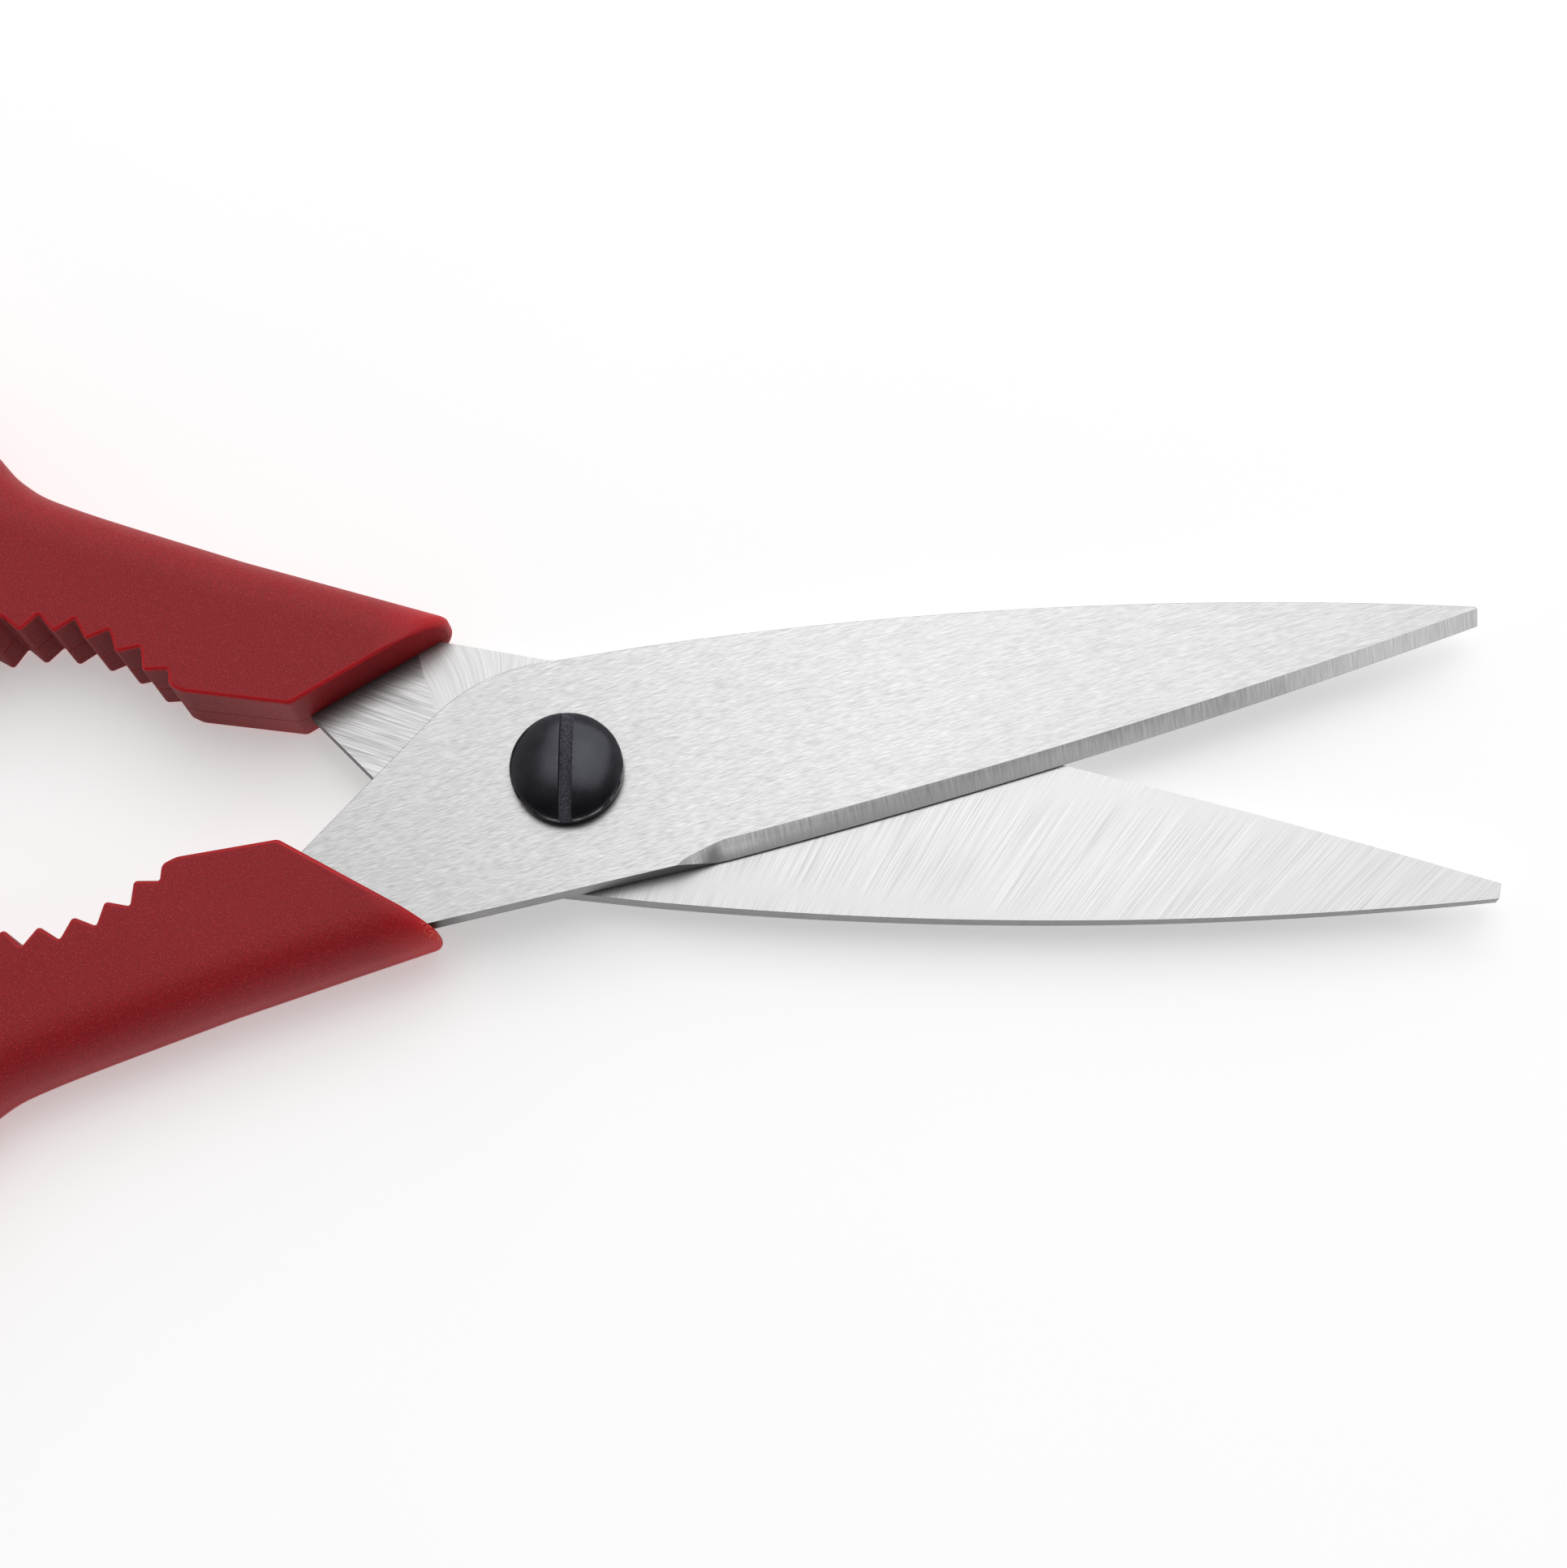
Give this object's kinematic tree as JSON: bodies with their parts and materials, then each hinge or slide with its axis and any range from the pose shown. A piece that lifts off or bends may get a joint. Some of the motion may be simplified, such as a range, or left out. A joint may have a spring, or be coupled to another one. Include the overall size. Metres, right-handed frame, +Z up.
{
  "type": "kitchen shears",
  "caption": "Hand shears with straight ground steel blades on a slotted pivot screw, moulded handles with finger loops and a toothed gripping jaw between them.",
  "frame": {"origin": "on the pivot's axis, in the plane that the shears lie on, which is the flat bottom of the pivot nut and the handles' back faces", "axes": "+X towards the blade tips, along the line midway between the two halves; +Y towards the rear half's handle; +Z up, out of the slotted head of the pivot screw"},
  "size_m": [0.2032, 0.1066, 0.0108],
  "materials": {
    "blade_steel": "ground stainless steel with visible grinding lines",
    "handle_plastic": "fine spark-eroded moulding grain, dark red",
    "black_steel": "satin blackened steel",
    "plated_steel": "dull zinc plating"
  },
  "bodies": {
    "rear_half": {"rear_blade": "blade_steel", "rear_handle": "handle_plastic", "pivot_screw": "black_steel", "head_washer": "black_steel", "pivot_nut": "plated_steel", "wave_washer": "plated_steel"},
    "front_half": {"front_blade": "blade_steel", "front_handle": "handle_plastic"}
  },
  "joints": [
    {"name": "pivot", "type": "hinge", "parent": "rear_half", "child": "front_half", "pos_m": [0, 0, 0.0048], "axis": [0, 0, 1], "range_deg": [-17.2, 80]}
  ]
}
